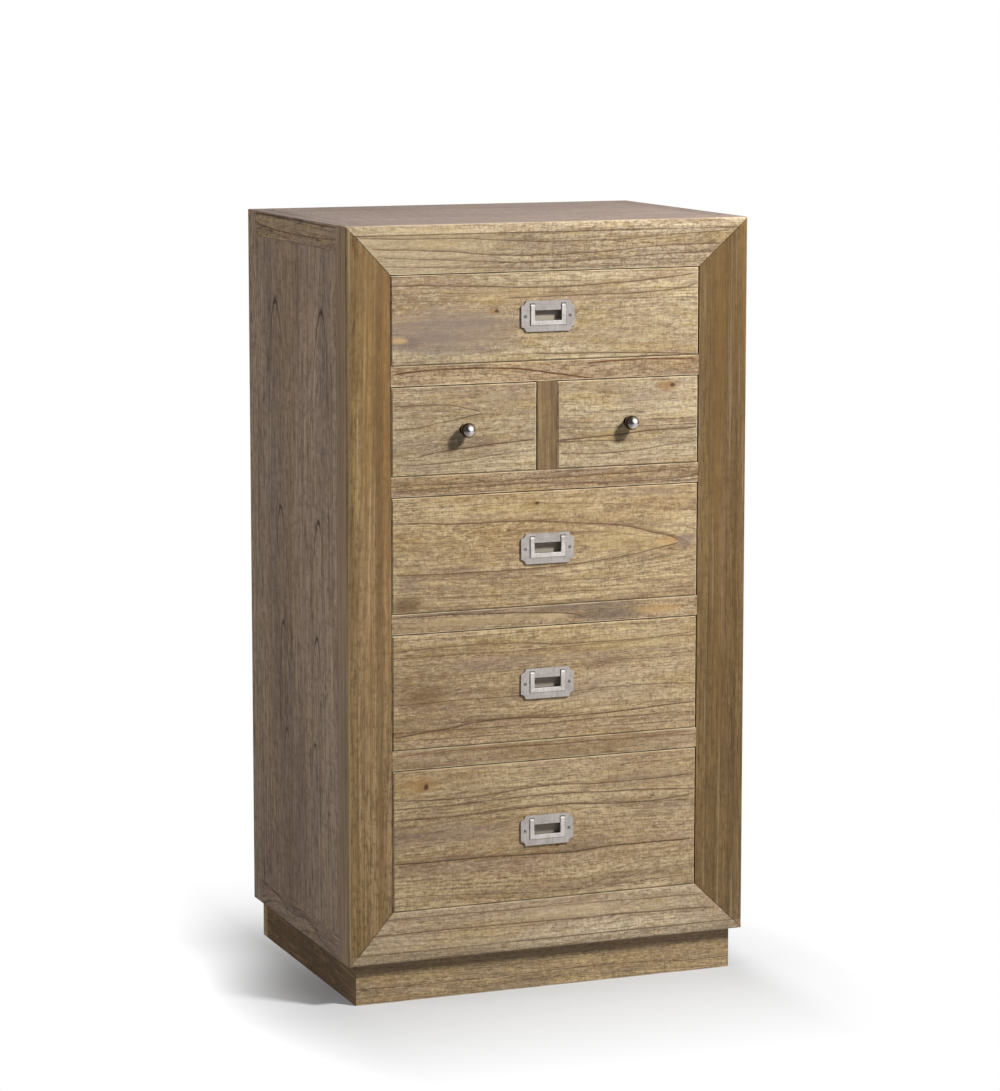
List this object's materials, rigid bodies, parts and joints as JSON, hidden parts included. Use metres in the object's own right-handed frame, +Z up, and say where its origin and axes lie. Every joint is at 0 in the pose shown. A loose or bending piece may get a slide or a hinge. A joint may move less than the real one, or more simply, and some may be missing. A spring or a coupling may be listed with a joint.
{
  "type": "chest of drawers",
  "caption": "Tall narrow wooden chest of drawers with a mitred picture frame front, a set-back plinth, flush bail pulls and ball knobs.",
  "frame": {"origin": "on the floor, under the centre of the bounding box", "axes": "+Z up, +X to the chest's right as its front is faced, +Y towards its back; the drawers open along -Y"},
  "size_m": [0.6, 0.4444, 1.0875],
  "materials": {
    "frame_wood": "weathered, matt oil",
    "front_wood": "weathered, matt oil",
    "side_wood": "weathered, matt oil",
    "top_wood": "weathered, matt oil",
    "inner_wood": "raw",
    "brushed_nickel": "brushed nickel",
    "polished_nickel": "polished nickel"
  },
  "bodies": {
    "carcass": {"frame_stile_left": "frame_wood", "frame_stile_right": "frame_wood", "frame_rail_top": "frame_wood", "frame_rail_bottom": "frame_wood", "centre_divider": "frame_wood", "plinth_front": "frame_wood", "plinth_left": "frame_wood", "plinth_right": "frame_wood", "plinth_back": "frame_wood", "back_post_left": "side_wood", "back_post_right": "side_wood", "side_rail_top_left": "side_wood", "side_rail_top_right": "side_wood", "side_rail_bottom_left": "side_wood", "side_rail_bottom_right": "side_wood", "side_panel_left": "side_wood", "side_panel_right": "side_wood", "top_panel": "top_wood", "top_drawer_rail": "front_wood", "small_drawer_rail": "front_wood", "upper_drawer_rail": "front_wood", "lower_drawer_rail": "front_wood", "back_panel": "inner_wood", "bottom_panel": "inner_wood", "top_runner_left": "inner_wood", "top_runner_right": "inner_wood", "small_runner_left": "inner_wood", "small_runner_right": "inner_wood", "upper_runner_left": "inner_wood", "upper_runner_right": "inner_wood", "lower_runner_left": "inner_wood", "lower_runner_right": "inner_wood"},
    "top_drawer_bail": {"top_drawer_pull_bail": "brushed_nickel"},
    "top_drawer": {"top_drawer_front": "front_wood", "top_drawer_box": "inner_wood", "top_drawer_bottom": "inner_wood", "top_drawer_pull_plate": "brushed_nickel"},
    "small_drawer_left": {"small_drawer_left_front": "front_wood", "small_drawer_left_box": "inner_wood", "small_drawer_left_bottom": "inner_wood", "small_drawer_left_knob": "polished_nickel"},
    "small_drawer_right": {"small_drawer_right_front": "front_wood", "small_drawer_right_box": "inner_wood", "small_drawer_right_bottom": "inner_wood", "small_drawer_right_knob": "polished_nickel"},
    "upper_drawer_bail": {"upper_drawer_pull_bail": "brushed_nickel"},
    "upper_drawer": {"upper_drawer_front": "front_wood", "upper_drawer_box": "inner_wood", "upper_drawer_bottom": "inner_wood", "upper_drawer_pull_plate": "brushed_nickel"},
    "lower_drawer_bail": {"lower_drawer_pull_bail": "brushed_nickel"},
    "lower_drawer": {"lower_drawer_front": "front_wood", "lower_drawer_box": "inner_wood", "lower_drawer_bottom": "inner_wood", "lower_drawer_pull_plate": "brushed_nickel"},
    "bottom_drawer_bail": {"bottom_drawer_pull_bail": "brushed_nickel"},
    "bottom_drawer": {"bottom_drawer_front": "front_wood", "bottom_drawer_box": "inner_wood", "bottom_drawer_bottom": "inner_wood", "bottom_drawer_pull_plate": "brushed_nickel"}
  },
  "joints": [
    {"name": "top_drawer_slide", "type": "slide", "parent": "carcass", "child": "top_drawer", "axis": [0, -1, 0], "range_m": [0, 0.28]},
    {"name": "small_drawer_left_slide", "type": "slide", "parent": "carcass", "child": "small_drawer_left", "axis": [0, -1, 0], "range_m": [0, 0.28]},
    {"name": "small_drawer_right_slide", "type": "slide", "parent": "carcass", "child": "small_drawer_right", "axis": [0, -1, 0], "range_m": [0, 0.28]},
    {"name": "upper_drawer_slide", "type": "slide", "parent": "carcass", "child": "upper_drawer", "axis": [0, -1, 0], "range_m": [0, 0.28]},
    {"name": "lower_drawer_slide", "type": "slide", "parent": "carcass", "child": "lower_drawer", "axis": [0, -1, 0], "range_m": [0, 0.28]},
    {"name": "bottom_drawer_slide", "type": "slide", "parent": "carcass", "child": "bottom_drawer", "axis": [0, -1, 0], "range_m": [0, 0.28]},
    {"name": "top_drawer_bail_hinge", "type": "hinge", "parent": "top_drawer", "child": "top_drawer_bail", "pos_m": [0, -0.19875, 0.97065], "axis": [-1, 0, 0], "range_deg": [0, 90]},
    {"name": "upper_drawer_bail_hinge", "type": "hinge", "parent": "upper_drawer", "child": "upper_drawer_bail", "pos_m": [0, -0.19875, 0.64515], "axis": [-1, 0, 0], "range_deg": [0, 90]},
    {"name": "lower_drawer_bail_hinge", "type": "hinge", "parent": "lower_drawer", "child": "lower_drawer_bail", "pos_m": [0, -0.19875, 0.45365], "axis": [-1, 0, 0], "range_deg": [0, 90]},
    {"name": "bottom_drawer_bail_hinge", "type": "hinge", "parent": "bottom_drawer", "child": "bottom_drawer_bail", "pos_m": [0, -0.19875, 0.24315], "axis": [-1, 0, 0], "range_deg": [0, 90]}
  ]
}
